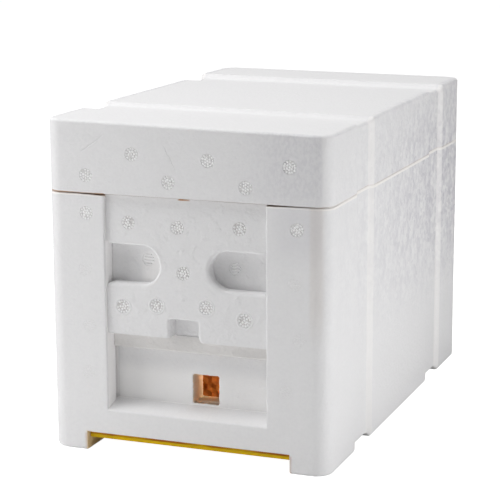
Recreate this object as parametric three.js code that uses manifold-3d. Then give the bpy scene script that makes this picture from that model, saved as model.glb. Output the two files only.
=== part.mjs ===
// Queen mating nuc box: a small foam bee box with a lift-off lid, a front door block that slides
// between two posts, a ventilated floor slide, five hanging mini frames, a divider and a feeder.
// Millimetres, +Z up. The front faces -Y, and the origin is on the ground under the box's middle.
import * as THREE from "three";
import { mergeVertices } from "three/addons/utils/BufferGeometryUtils.js";
import Module from "manifold-3d";

const wasm = await Module();
wasm.setup();

// Outer foam box
const boxWidth = 165;
const boxLength = 272;
const lidTopHeight = 187.2;
const lidDepth = 40.1;
const seamGap = 0.3;
const cornerRadius = 10;
const lidEdgeRadius = 1.8;
const baseEdgeRadius = 2.4;
const rimEdgeRadius = 1.3;
const lidLowEdgeRadius = 0.4;
const rearPadRise = 0.7;

// Strap grooves round the box
const strapFloorWidth = 22.5;
const strapSlopeWidth = 5;
const strapDepth = 2.3;
const frontStrapFromFront = 62.5;
const rearStrapFromRear = 61;

// Walls and cavity
const sideWallThickness = 22.5;
const frontWallThickness = 14.5;
const rearWallThickness = 22;
const cavityCornerRadius = 4;
const rebateDepth = 19;
const rebateWidth = 7.5;
const channelHeight = 11;
const ledgeWidth = 3;
const ledgeThickness = 3.4;
const ledgeFromEnds = 24;

// Porch and door way between the front posts
const postWidth = 35.5;
const porchDepth = 14.5;
const porchLipHeight = 25;
const porchBackHeight = 28.8;
const postEdgeRadius = 1.6;
const tongueGrooveDepth = 3.4;
const tongueGrooveWidth = 3.3;
const postTopDrop = 1.6;
const postTopSlopeEndFromSide = 5;

// Entrance hole through the front wall
const entranceWidth = 15.4;
const entranceHeight = 16.4;
const entranceSillRise = 1;
const entranceOffset = 6.1;

// Front door block
const doorFit = 0.35;
const doorSetBack = 2.2;
const doorSlabThickness = 7.5;
const doorTravel = 30.2;
const doorPlateShow = 9.7;
const doorTopGap = 0.3;
const doorEdgeRadius = 1.8;
const doorCornerRadius = 3;
const doorRightDrop = 1;
const gripHeight = 21.8;
const gripSpacing = 28.9;
const gripOffset = -1.2;
const gripRise = 0.8;
const notchWidth = 16.8;
const notchHeight = 10.6;
const notchOffset = -1.6;
const notchCornerRadius = 0.8;
const notchLipRadius = 0.5;
const notchPocketDepth = 2;

// Ventilated floor slide
const slideFit = 0.4;
const slideThickness = 3.6;
const slidePanelThickness = 2;
const slideRimWidth = 5;
const slideSetBack = 3;
const slideTopGap = 0.3;
const ventLength = 22;
const ventWidth = 2.6;
const ventPitchAlong = 8;
const ventPitchAcross = 26;
const ventMargin = 12;

// Frames
const frameCount = 5;
const framesShare = 0.7127;
const frameGap = 0.5;
const frameSideSpace = 7;
const beeSpace = 7.5;
const topBarThickness = 9;
const topBarFit = 0.6;
const lugWidth = 13;
const sideBarThickness = 8;
const sideBarInset = 4.75;
const shoulderHeight = 34;
const shoulderTaper = 8;
const bottomBarThickness = 6;
const bottomBarWidth = 12;
const frameFloorSpace = 7.3;
const waxThickness = 2;
const seat = 0.3;

// Divider, excluder and feeder
const dividerThickness = 5;
const dividerFit = 0.3;
const dividerGrooveDepth = 3;
const dividerFromLastFrame = 3;
const dividerTopRise = 8.8;
const passageFromWalls = 29;
const passageHeight = 34;
const passageTopMargin = 12;
const excluderLip = 4;
const excluderThickness = 2.4;
const excluderSlotWidth = 4.2;
const excluderSlotPitch = 7.4;
const excluderBarHeight = 3;
const feederWall = 2;
const feederSideGap = 1.5;
const feederFrontSpace = 7;
const feederFloorSpace = 9;
const feederFlangeThickness = 2.4;
const feederFlangeGap = 1.4;
const feederCornerRadius = 5;
const floatGap = 1.5;
const floatThickness = 5;
const floatSlotWidth = 4;
const floatSlotPitch = 10;
const floatEndMargin = 9;
const floatRimWidth = 6;
const floatFootHeight = 4;
const floatFootSize = 6;

// Inner cover and lid plug
const coverThickness = 1;
const coverFit = 0.6;
const coverCornerRadius = 3.4;
const flapSize = 32;
const flapSlit = 1;
const plugFit = 0.5;
const plugCoverGap = 0.7;

// One overrun serves every cut that passes right through its piece
const overrun = 5;

// Levels and places worked out from the sizes above
const halfWidth = boxWidth / 2;
const front = -boxLength / 2;
const rear = boxLength / 2;
const lidBottom = lidTopHeight - lidDepth;
const rimHeight = lidBottom - seamGap;
const halfCavity = halfWidth - sideWallThickness;
const cavityFront = front + porchDepth + frontWallThickness;
const cavityRear = rear - rearWallThickness;
const cavityMiddle = (cavityFront + cavityRear) / 2;
const cavityLength = cavityRear - cavityFront;
const rebateHeight = rimHeight - rebateDepth;
const halfRebate = halfCavity + rebateWidth;
const halfPorch = halfWidth - postWidth;
const porchBack = front + porchDepth;
const slideTop = channelHeight - slideTopGap;
const slideBottom = slideTop - slideThickness;
const ledgeTop = slideBottom - seat;
const doorPlateBottom = porchBackHeight + seat + doorTravel;
const doorSlabBottom = doorPlateBottom + doorPlateShow;
const doorTop = rimHeight - doorTopGap;
const frameTop = rebateHeight + seat + topBarThickness;
const frameUnderBar = frameTop - topBarThickness - seat;
const frameBottom = slideTop + frameFloorSpace;
const halfFrame = halfCavity - frameSideSpace;
const framePitch = (cavityLength * framesShare) / frameCount;
const dividerFront = cavityFront + frameCount * framePitch + dividerFromLastFrame;
const dividerRear = dividerFront + dividerThickness;
const feederFront = dividerRear + feederFrontSpace;
const coverBottom = frameTop + seat;
const coverTop = coverBottom + coverThickness;
const plugBottom = coverTop + plugCoverGap;

// Materials
const foam = { color: 0xf1f1f0, roughness: 0.85, metalness: 0 };
const yellowPlastic = { color: 0xf2b705, roughness: 0.4, metalness: 0 };
const wood = { color: 0xc9995c, roughness: 0.75, metalness: 0 };
const wax = { color: 0xb5591c, roughness: 0.55, metalness: 0 };
const clearPlastic = { color: 0xe8f0f2, roughness: 0.1, metalness: 0, transparent: true, opacity: 0.35 };
const whitePlastic = { color: 0xf4f4ef, roughness: 0.35, metalness: 0 };

// Closed three.js geometry as a solid that can be joined and cut
function solid(geometry) {
  geometry.deleteAttribute("normal");
  geometry.deleteAttribute("uv");
  const merged = mergeVertices(geometry);
  const vertProperties = new Float32Array(merged.attributes.position.array);
  const triVerts = new Uint32Array(merged.index.array);
  return new wasm.Manifold(new wasm.Mesh({ numProp: 3, vertProperties, triVerts }));
}

// Box between two corners
function block([x0, y0, z0], [x1, y1, z1]) {
  const geometry = new THREE.BoxGeometry(x1 - x0, y1 - y0, z1 - z0);
  geometry.translate((x0 + x1) / 2, (y0 + y1) / 2, (z0 + z1) / 2);
  return solid(geometry);
}

// Box given by its half width, centred on x = 0
function centredBlock(half, y0, y1, z0, z1) {
  return block([-half, y0, z0], [half, y1, z1]);
}

// Steps in each curve of an outline
const curveSegments = 6;

function extruded(shape, depth, options = {}) {
  return new THREE.ExtrudeGeometry(shape, { depth, bevelEnabled: false, curveSegments, ...options });
}

// Outline in x and y, extruded upwards
function uprightPrism(shape, z0, z1, options) {
  return solid(extruded(shape, z1 - z0, options).translate(0, 0, z0));
}

// Outline in x and z, extruded from y0 back to y1
function facingPrism(shape, y0, y1, options) {
  return solid(extruded(shape, y1 - y0, options).rotateX(Math.PI / 2).translate(0, y1, 0));
}

// Outline in y and z, extruded from x0 to x1
function sidewaysPrism(shape, x0, x1, options) {
  const turn = new THREE.Matrix4().makeBasis(
    new THREE.Vector3(0, 1, 0),
    new THREE.Vector3(0, 0, 1),
    new THREE.Vector3(1, 0, 0),
  );
  return solid(extruded(shape, x1 - x0, options).applyMatrix4(turn).translate(x0, 0, 0));
}

// Prism whose outline is rounded over at both ends
function softPrism(outline, z0, z1, radius) {
  return uprightPrism(outline, z0 + radius, z1 - radius, {
    bevelEnabled: true,
    bevelThickness: radius,
    bevelSize: radius,
    bevelOffset: -radius,
    bevelSegments: 4,
  });
}

function polygon(points) {
  return new THREE.Shape(points.map(([u, v]) => new THREE.Vector2(u, v)));
}

// Rectangle with rounded corners
function roundedRectangle(u0, u1, v0, v1, radius) {
  const shape = new THREE.Shape();
  shape.absarc(u1 - radius, v0 + radius, radius, -Math.PI / 2, 0);
  shape.absarc(u1 - radius, v1 - radius, radius, 0, Math.PI / 2);
  shape.absarc(u0 + radius, v1 - radius, radius, Math.PI / 2, Math.PI);
  shape.absarc(u0 + radius, v0 + radius, radius, Math.PI, Math.PI * 1.5);
  return shape;
}

const strapHalfFloor = strapFloorWidth / 2;
const strapReach = strapHalfFloor + strapSlopeWidth;
const strapMiddles = [front + frontStrapFromFront, rear - rearStrapFromRear];

// Strap groove in one side of the plan outline, drawn towards the back (way 1) or the front (way -1)
function strapNotch(shape, side, middle, way) {
  const floor = side - Math.sign(side) * strapDepth;
  shape.lineTo(side, middle - way * strapReach);
  shape.lineTo(floor, middle - way * strapHalfFloor);
  shape.lineTo(floor, middle + way * strapHalfFloor);
  shape.lineTo(side, middle + way * strapReach);
}

// Plan outline of the box, with its corners and the strap grooves in its sides
function boxOutline() {
  const shape = new THREE.Shape();
  const cornerX = halfWidth - cornerRadius;
  shape.absarc(cornerX, front + cornerRadius, cornerRadius, -Math.PI / 2, 0);
  strapMiddles.forEach((middle) => strapNotch(shape, halfWidth, middle, 1));
  shape.absarc(cornerX, rear - cornerRadius, cornerRadius, 0, Math.PI / 2);
  shape.absarc(-cornerX, rear - cornerRadius, cornerRadius, Math.PI / 2, Math.PI);
  strapMiddles.toReversed().forEach((middle) => strapNotch(shape, -halfWidth, middle, -1));
  shape.absarc(-cornerX, front + cornerRadius, cornerRadius, Math.PI, Math.PI * 1.5);
  return shape;
}

// Cutter for a strap groove across a level face: level is the face, way points out of the material
function strapCutter(middle, level, way, rearLevel = level) {
  const floor = level - way * strapDepth;
  const outside = rearLevel + way * overrun;
  const profile = polygon([
    [middle - strapReach, outside],
    [middle - strapReach, level],
    [middle - strapHalfFloor, floor],
    [middle + strapHalfFloor, floor],
    [middle + strapReach, rearLevel],
    [middle + strapReach, outside],
  ]);
  return sidewaysPrism(profile, -halfWidth - overrun, halfWidth + overrun);
}

// Outer foam block between two heights, with its own edge radius at the bottom and at the top
function foamBlock(z0, z1, radiusLow, radiusHigh) {
  const low = softPrism(boxOutline(), z0, z1 + overrun + radiusHigh, radiusLow);
  const high = softPrism(boxOutline(), z0 - overrun - radiusLow, z1, radiusHigh);
  return low.intersect(high);
}

// Door way between the posts: its mouth has rounded edges, and its back has a groove at each side
function doorWay() {
  const plan = new THREE.Shape();
  const mouth = halfPorch + postEdgeRadius;
  const grooveFront = porchBack - tongueGrooveWidth;
  const grooveSide = halfPorch + tongueGrooveDepth;
  plan.moveTo(-mouth, front - overrun);
  plan.lineTo(mouth, front - overrun);
  plan.absarc(mouth, front + postEdgeRadius, postEdgeRadius, -Math.PI / 2, -Math.PI, true);
  plan.lineTo(halfPorch, grooveFront);
  plan.lineTo(grooveSide, grooveFront);
  plan.lineTo(grooveSide, porchBack);
  plan.lineTo(-grooveSide, porchBack);
  plan.lineTo(-grooveSide, grooveFront);
  plan.lineTo(-halfPorch, grooveFront);
  plan.absarc(-mouth, front + postEdgeRadius, postEdgeRadius, 0, -Math.PI / 2, true);
  const slope = (porchBackHeight - porchLipHeight) / porchDepth;
  const profile = polygon([
    [front - overrun, porchLipHeight - slope * overrun],
    [porchBack + overrun, porchBackHeight + slope * overrun],
    [porchBack + overrun, rimHeight + overrun],
    [front - overrun, rimHeight + overrun],
  ]);
  const standing = uprightPrism(plan, channelHeight, rimHeight + overrun);
  return standing.intersect(sidewaysPrism(profile, -halfWidth, halfWidth));
}

// Wedge that lowers the top of one post towards the door way
function postTopWedge(side) {
  const inner = side * halfPorch;
  const outer = side * (halfWidth - postTopSlopeEndFromSide);
  const wedge = polygon([
    [inner, rimHeight - postTopDrop],
    [outer, rimHeight],
    [outer, rimHeight + overrun],
    [inner - side * overrun, rimHeight + overrun],
    [inner - side * overrun, rimHeight - postTopDrop],
  ]);
  return facingPrism(wedge, front - overrun, porchBack);
}

function entranceHole() {
  const left = entranceOffset - entranceWidth / 2;
  const sill = porchBackHeight + entranceSillRise;
  return block(
    [left, porchBack - overrun, sill],
    [left + entranceWidth, cavityFront + overrun, sill + entranceHeight],
  );
}

// Ledge that the floor slide runs on, along one runner
function slideLedge(side) {
  const inner = side * (halfCavity - ledgeWidth);
  const outer = side * (halfCavity + overrun);
  return block(
    [Math.min(inner, outer), front + ledgeFromEnds, ledgeTop - ledgeThickness],
    [Math.max(inner, outer), rear - ledgeFromEnds, ledgeTop],
  );
}

function hiveBody() {
  const cavity = roundedRectangle(-halfCavity, halfCavity, cavityFront, cavityRear, cavityCornerRadius);
  const rebate = roundedRectangle(-halfRebate, halfRebate, cavityFront, cavityRear, cavityCornerRadius);
  const dividerSlotSide = halfCavity + dividerGrooveDepth;
  return foamBlock(0, rimHeight, baseEdgeRadius, rimEdgeRadius)
    .subtract(strapCutter(strapMiddles[0], 0, -1))
    .subtract(strapCutter(strapMiddles[1], 0, -1))
    .subtract(uprightPrism(cavity, -overrun, rimHeight + overrun))
    .subtract(uprightPrism(rebate, rebateHeight, rimHeight + overrun))
    .subtract(centredBlock(halfCavity, front - overrun, rear + overrun, -overrun, channelHeight))
    .subtract(
      centredBlock(
        dividerSlotSide,
        dividerFront - dividerFit,
        dividerRear + dividerFit,
        channelHeight,
        rimHeight,
      ),
    )
    .subtract(doorWay())
    .subtract(entranceHole())
    .subtract(postTopWedge(-1))
    .subtract(postTopWedge(1))
    .add(slideLedge(-1))
    .add(slideLedge(1));
}

function lid() {
  const [frontStrap, rearStrap] = strapMiddles;
  const padTop = lidTopHeight + rearPadRise;
  const rearPad = foamBlock(lidBottom, padTop, lidLowEdgeRadius, lidEdgeRadius).intersect(
    centredBlock(boxWidth, rearStrap, rear + overrun, lidBottom - overrun, padTop + overrun),
  );
  const plugFront = cavityFront + plugFit;
  const plugRear = cavityRear - plugFit;
  const halfPlug = halfRebate - plugFit;
  const plug = roundedRectangle(-halfPlug, halfPlug, plugFront, plugRear, cavityCornerRadius);
  return foamBlock(lidBottom, lidTopHeight, lidLowEdgeRadius, lidEdgeRadius)
    .add(rearPad)
    .subtract(strapCutter(frontStrap, lidTopHeight, 1))
    .subtract(strapCutter(rearStrap, lidTopHeight, 1, padTop))
    .add(uprightPrism(plug, plugBottom, lidBottom + overrun));
}

// Front outline of the door's thick slab, with a finger grip open at each side and a nail notch below.
// Its outer sides lie one edge radius outside the slab, so that only grips and notch are rounded over.
function doorSlabOutline(slabHalf, slabTop) {
  const shape = new THREE.Shape();
  const half = slabHalf + doorEdgeRadius;
  const top = slabTop + doorEdgeRadius;
  const low = doorSlabBottom - doorEdgeRadius;
  const rightLow = low - doorRightDrop;
  const corner = doorCornerRadius + doorEdgeRadius;
  const lip = notchLipRadius + doorEdgeRadius;
  const gripRadius = gripHeight / 2;
  const gripMiddle = (doorSlabBottom + slabTop) / 2 + gripRise;
  const gripLow = gripMiddle - gripRadius;
  const gripHigh = gripMiddle + gripRadius;
  const leftGripEnd = gripOffset - gripSpacing / 2 - gripRadius;
  const rightGripEnd = gripOffset + gripSpacing / 2 + gripRadius;
  const notchLeft = notchOffset - notchWidth / 2;
  const notchRight = notchOffset + notchWidth / 2;
  const notchTop = doorSlabBottom + notchHeight;
  const round = notchCornerRadius;
  shape.moveTo(-half, low);
  shape.lineTo(notchLeft - lip, low);
  shape.absarc(notchLeft - lip, low + lip, lip, -Math.PI / 2, 0);
  shape.absarc(notchLeft + round, notchTop - round, round, Math.PI, Math.PI / 2, true);
  shape.absarc(notchRight - round, notchTop - round, round, Math.PI / 2, 0, true);
  shape.absarc(notchRight + corner, rightLow + corner, corner, Math.PI, Math.PI * 1.5);
  shape.lineTo(half, rightLow);
  shape.absarc(half - corner, gripLow - corner, corner, 0, Math.PI / 2);
  shape.absarc(rightGripEnd, gripMiddle, gripRadius, Math.PI * 1.5, Math.PI / 2, true);
  shape.absarc(half - corner, gripHigh + corner, corner, -Math.PI / 2, 0);
  shape.lineTo(half, top);
  shape.lineTo(-half, top);
  shape.absarc(-half + corner, gripHigh + corner, corner, Math.PI, Math.PI * 1.5);
  shape.absarc(leftGripEnd, gripMiddle, gripRadius, Math.PI / 2, -Math.PI / 2, true);
  shape.absarc(-half + corner, gripLow - corner, corner, Math.PI / 2, Math.PI);
  return shape;
}

// Space that the slab fills: its lower edge lies a little lower on the right of the notch
function doorSlabBounds(half, y0, y1, top) {
  const rightLow = doorSlabBottom - doorRightDrop;
  const face = polygon([
    [-half, doorSlabBottom],
    [notchOffset, doorSlabBottom],
    [notchOffset, rightLow],
    [half, rightLow],
    [half, top],
    [-half, top],
  ]);
  return facingPrism(face, y0, y1);
}

// Nail pocket: it runs on from the notch into the door's rear plate
function notchPocket(plateFront) {
  const left = notchOffset - notchWidth / 2;
  const top = doorSlabBottom + notchHeight;
  const outline = roundedRectangle(left, left + notchWidth, doorSlabBottom, top, notchCornerRadius);
  return facingPrism(outline, front - overrun, plateFront + notchPocketDepth);
}

function frontDoor() {
  const half = halfPorch - doorFit;
  const faceY = front + doorSetBack;
  const plateFront = faceY + doorSlabThickness;
  const plateRear = porchBack - doorFit;
  const halfTongue = halfPorch + tongueGrooveDepth - doorFit;
  const tongueFront = porchBack - tongueGrooveWidth + doorFit;
  const slab = facingPrism(doorSlabOutline(half, doorTop), faceY + doorEdgeRadius, plateRear, {
    bevelEnabled: true,
    bevelThickness: doorEdgeRadius,
    bevelSize: doorEdgeRadius,
    bevelOffset: -doorEdgeRadius,
    bevelSegments: 2,
  });
  return slab
    .intersect(doorSlabBounds(half, faceY, plateFront + doorEdgeRadius, doorTop))
    .add(centredBlock(half, plateFront, plateRear, doorPlateBottom, doorTop))
    .add(centredBlock(halfTongue, tongueFront, plateRear, doorPlateBottom, doorTop))
    .subtract(notchPocket(plateFront));
}

// Places of count copies at one pitch, centred on middle
function spread(count, pitch, middle) {
  return Array.from({ length: count }, (_, i) => middle + (i - (count - 1) / 2) * pitch);
}

function floorSlide() {
  const half = halfCavity - slideFit;
  const slideFront = front + slideSetBack;
  const slideRear = rear - slideSetBack;
  const panelBottom = slideTop - slidePanelThickness;
  const halfInside = half - slideRimWidth;
  let slide = centredBlock(half, slideFront, slideRear, slideBottom, slideTop).subtract(
    centredBlock(
      halfInside,
      slideFront + slideRimWidth,
      slideRear - slideRimWidth,
      slideBottom - overrun,
      panelBottom,
    ),
  );
  const ventSpan = cavityLength - 2 * ventMargin;
  const rows = Math.floor(ventSpan / ventPitchAlong) + 1;
  const columns = Math.floor((2 * halfInside - ventLength) / ventPitchAcross) + 1;
  for (const y of spread(rows, ventPitchAlong, cavityMiddle)) {
    for (const x of spread(columns, ventPitchAcross, 0)) {
      slide = slide.subtract(
        block(
          [x - ventLength / 2, y - ventWidth / 2, slideBottom - overrun],
          [x + ventLength / 2, y + ventWidth / 2, slideTop + overrun],
        ),
      );
    }
  }
  return slide;
}

// Hanging bar with a narrower lug at each end
function topBar(y) {
  const halfSpan = halfRebate - topBarFit;
  const halfBar = (framePitch - beeSpace) / 2;
  const halfLug = lugWidth / 2;
  const outline = polygon([
    [-halfSpan, y - halfLug],
    [-halfFrame, y - halfLug],
    [-halfFrame, y - halfBar],
    [halfFrame, y - halfBar],
    [halfFrame, y - halfLug],
    [halfSpan, y - halfLug],
    [halfSpan, y + halfLug],
    [halfFrame, y + halfLug],
    [halfFrame, y + halfBar],
    [-halfFrame, y + halfBar],
    [-halfFrame, y + halfLug],
    [-halfSpan, y + halfLug],
  ]);
  return uprightPrism(outline, frameTop - topBarThickness, frameTop);
}

// Side bar with spacing shoulders at the top
function sideBar(y, side) {
  const halfShoulder = (framePitch - frameGap) / 2;
  const halfBar = framePitch / 2 - sideBarInset;
  const shoulderEnd = frameUnderBar - shoulderHeight;
  const taperEnd = shoulderEnd - shoulderTaper;
  const outline = polygon([
    [y - halfBar, frameBottom],
    [y + halfBar, frameBottom],
    [y + halfBar, taperEnd],
    [y + halfShoulder, shoulderEnd],
    [y + halfShoulder, frameUnderBar],
    [y - halfShoulder, frameUnderBar],
    [y - halfShoulder, shoulderEnd],
    [y - halfBar, taperEnd],
  ]);
  const outer = side * halfFrame;
  const inner = outer - side * sideBarThickness;
  return sidewaysPrism(outline, Math.min(inner, outer), Math.max(inner, outer));
}

const halfInsideFrame = halfFrame - sideBarThickness - seat;

function bottomBar(y) {
  const half = bottomBarWidth / 2;
  return centredBlock(halfInsideFrame, y - half, y + half, frameBottom, frameBottom + bottomBarThickness);
}

function waxSheet(y) {
  const half = waxThickness / 2;
  const low = frameBottom + bottomBarThickness + seat;
  return centredBlock(halfInsideFrame, y - half, y + half, low, frameUnderBar);
}

// Passage window in the divider, between the frames and the feeder
const passageTop = rebateHeight - passageTopMargin;
const passageLow = passageTop - passageHeight;
const halfPassage = halfCavity - passageFromWalls;

function dividerBoard() {
  const half = halfCavity + dividerGrooveDepth - dividerFit;
  const low = channelHeight + seat;
  const board = centredBlock(half, dividerFront, dividerRear, low, rebateHeight - seat);
  const upper = centredBlock(
    halfCavity - dividerFit,
    dividerFront,
    dividerRear,
    rebateHeight - overrun,
    rebateHeight + dividerTopRise,
  );
  return board
    .add(upper)
    .subtract(
      centredBlock(halfPassage, dividerFront - overrun, dividerRear + overrun, passageLow, passageTop),
    );
}

// Grille with upright slots that worker bees can pass, over the passage on the frames' side
function excluderGrille() {
  const rearFace = dividerFront - seat;
  const frontFace = rearFace - excluderThickness;
  let grille = centredBlock(
    halfPassage + excluderLip,
    frontFace,
    rearFace,
    passageLow - excluderLip,
    passageTop + excluderLip,
  );
  const slotCount = Math.floor((2 * halfPassage - excluderSlotWidth) / excluderSlotPitch) + 1;
  const barMiddle = (passageLow + passageTop) / 2;
  const halfBar = excluderBarHeight / 2;
  for (const x of spread(slotCount, excluderSlotPitch, 0)) {
    for (const [low, high] of [
      [passageLow, barMiddle - halfBar],
      [barMiddle + halfBar, passageTop],
    ]) {
      const left = x - excluderSlotWidth / 2;
      grille = grille.subtract(
        block([left, frontFace - overrun, low], [left + excluderSlotWidth, rearFace + overrun, high]),
      );
    }
  }
  return grille;
}

const feederHalf = halfCavity - feederSideGap;
const feederRear = cavityRear - feederSideGap;
const feederBottom = slideTop + feederFloorSpace;
const feederTop = rebateHeight + seat + feederFlangeThickness;

// Open tank that hangs from the ledges by a flange at each side
function feederTank() {
  const outer = roundedRectangle(-feederHalf, feederHalf, feederFront, feederRear, feederCornerRadius);
  const inner = roundedRectangle(
    -feederHalf + feederWall,
    feederHalf - feederWall,
    feederFront + feederWall,
    feederRear - feederWall,
    feederCornerRadius - feederWall,
  );
  const flange = roundedRectangle(
    -halfRebate + feederFlangeGap,
    halfRebate - feederFlangeGap,
    feederFront,
    feederRear,
    feederCornerRadius - feederWall,
  );
  return uprightPrism(outer, feederBottom, feederTop)
    .add(uprightPrism(flange, feederTop - feederFlangeThickness, feederTop))
    .subtract(uprightPrism(inner, feederBottom + feederWall, feederTop + overrun));
}

// Slotted float that the bees stand on, at the bottom of the empty tank
function feederFloat() {
  const half = feederHalf - feederWall - floatGap;
  const floatFront = feederFront + feederWall + floatGap;
  const floatRear = feederRear - feederWall - floatGap;
  const footBottom = feederBottom + feederWall + seat;
  const low = footBottom + floatFootHeight;
  let plate = centredBlock(half, floatFront, floatRear, low, low + floatThickness);
  const slotSpan = 2 * (half - floatEndMargin) - floatSlotWidth;
  const slotCount = Math.floor(slotSpan / floatSlotPitch) + 1;
  for (const x of spread(slotCount, floatSlotPitch, 0)) {
    const left = x - floatSlotWidth / 2;
    plate = plate.subtract(
      block(
        [left, floatFront + floatRimWidth, low - overrun],
        [left + floatSlotWidth, floatRear - floatRimWidth, low + floatThickness + overrun],
      ),
    );
  }
  for (const x of [-half, half - floatFootSize]) {
    for (const y of [floatFront, floatRear - floatFootSize]) {
      plate = plate.add(
        block([x, y, footBottom], [x + floatFootSize, y + floatFootSize, low + floatThickness / 2]),
      );
    }
  }
  return plate;
}

// Thin clear sheet over the frames, with a flap cut on three sides for a queen cell
function innerCover() {
  const half = halfRebate - coverFit;
  const sheet = roundedRectangle(
    -half,
    half,
    cavityFront + coverFit,
    cavityRear - coverFit,
    coverCornerRadius,
  );
  const halfFlap = flapSize / 2;
  const flapFront = cavityFront + framePitch;
  const flapRear = flapFront + flapSize;
  const low = coverBottom - overrun;
  const high = coverTop + overrun;
  return uprightPrism(sheet, coverBottom, coverTop)
    .subtract(centredBlock(halfFlap, flapFront, flapFront + flapSlit, low, high))
    .subtract(block([-halfFlap, flapFront, low], [-halfFlap + flapSlit, flapRear, high]))
    .subtract(block([halfFlap - flapSlit, flapFront, low], [halfFlap, flapRear, high]));
}

// The assembled box
const nucBox = new THREE.Group();

function addPiece(parent, name, shape, finish) {
  const made = shape.getMesh();
  const geometry = new THREE.BufferGeometry();
  geometry.setAttribute("position", new THREE.BufferAttribute(made.vertProperties, made.numProp));
  geometry.setIndex(new THREE.BufferAttribute(made.triVerts, 1));
  geometry.computeVertexNormals();
  const mesh = new THREE.Mesh(geometry, new THREE.MeshStandardMaterial({ ...finish, flatShading: true }));
  mesh.name = name;
  parent.add(mesh);
}

addPiece(nucBox, "hive_body", hiveBody(), foam);
addPiece(nucBox, "lid", lid(), foam);
addPiece(nucBox, "front_door", frontDoor(), foam);
addPiece(nucBox, "floor_slide", floorSlide(), yellowPlastic);
addPiece(nucBox, "inner_cover", innerCover(), clearPlastic);
addPiece(nucBox, "divider_board", dividerBoard(), wood);
addPiece(nucBox, "excluder_grille", excluderGrille(), yellowPlastic);
addPiece(nucBox, "feeder_tank", feederTank(), whitePlastic);
addPiece(nucBox, "feeder_float", feederFloat(), whitePlastic);

for (let i = 0; i < frameCount; i += 1) {
  const frame = new THREE.Group();
  const y = cavityFront + frameGap / 2 + framePitch * (i + 1 / 2);
  const label = `frame_${i + 1}`;
  addPiece(frame, `${label}_top_bar`, topBar(y), wood);
  addPiece(frame, `${label}_left_bar`, sideBar(y, -1), wood);
  addPiece(frame, `${label}_right_bar`, sideBar(y, 1), wood);
  addPiece(frame, `${label}_bottom_bar`, bottomBar(y), wood);
  addPiece(frame, `${label}_wax_sheet`, waxSheet(y), wax);
  nucBox.add(frame);
}

export default nucBox;
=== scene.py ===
import math
import random
from typing import NamedTuple

import bmesh
import bpy
from bpy.props import FloatProperty, FloatVectorProperty, PointerProperty
from bpy.types import Operator, Panel, PropertyGroup
from mathutils import Euler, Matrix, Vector


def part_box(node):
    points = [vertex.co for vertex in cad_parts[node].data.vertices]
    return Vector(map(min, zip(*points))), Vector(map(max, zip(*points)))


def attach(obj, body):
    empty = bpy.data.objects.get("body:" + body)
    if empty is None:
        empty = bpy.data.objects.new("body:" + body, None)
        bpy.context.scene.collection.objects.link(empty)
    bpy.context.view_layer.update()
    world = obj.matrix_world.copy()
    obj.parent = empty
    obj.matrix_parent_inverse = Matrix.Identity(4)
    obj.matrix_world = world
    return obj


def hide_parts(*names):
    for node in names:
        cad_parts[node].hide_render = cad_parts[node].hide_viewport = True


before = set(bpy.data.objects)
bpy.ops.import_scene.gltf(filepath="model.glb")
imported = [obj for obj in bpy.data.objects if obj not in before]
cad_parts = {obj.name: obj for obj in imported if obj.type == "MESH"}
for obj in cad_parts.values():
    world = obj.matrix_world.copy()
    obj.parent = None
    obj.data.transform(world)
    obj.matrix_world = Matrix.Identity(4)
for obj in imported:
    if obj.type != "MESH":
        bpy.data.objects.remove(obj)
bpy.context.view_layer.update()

bl_info = {
    "name": "Queen Mating Nuc Box",
    "version": (1, 0, 0),
    "blender": (4, 5, 0),
    "location": "View3D > Sidebar > Nuc Box",
    "description": "Dresses the foam nuc box in beaded foam, wood, wax and plastic on a white stage",
    "category": "Object",
}


# Settings that a user may change


def mm(*values):
    """Millimetres as metres: one value, or several as a tuple."""
    metres = tuple(v * 0.001 for v in values)
    return metres[0] if len(metres) == 1 else metres


def length(name, default, description):
    """A length setting, given in millimetres and kept in metres."""
    return FloatProperty(
        name=name, description=description, default=mm(default), precision=4,
        unit="LENGTH", subtype="DISTANCE",
    )


def share(name, default, description):
    """A setting between nothing and twice the whole."""
    return FloatProperty(
        name=name, description=description, default=default, min=0, max=2, subtype="FACTOR"
    )


def colour(name, default, description):
    """A colour setting."""
    return FloatVectorProperty(
        name=name, description=description, default=default, size=3, min=0, max=1, subtype="COLOR"
    )


def power(name, default, description):
    """A lamp's power in watts."""
    return FloatProperty(
        name=name, description=description, default=default, min=0, precision=4, unit="POWER"
    )


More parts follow.
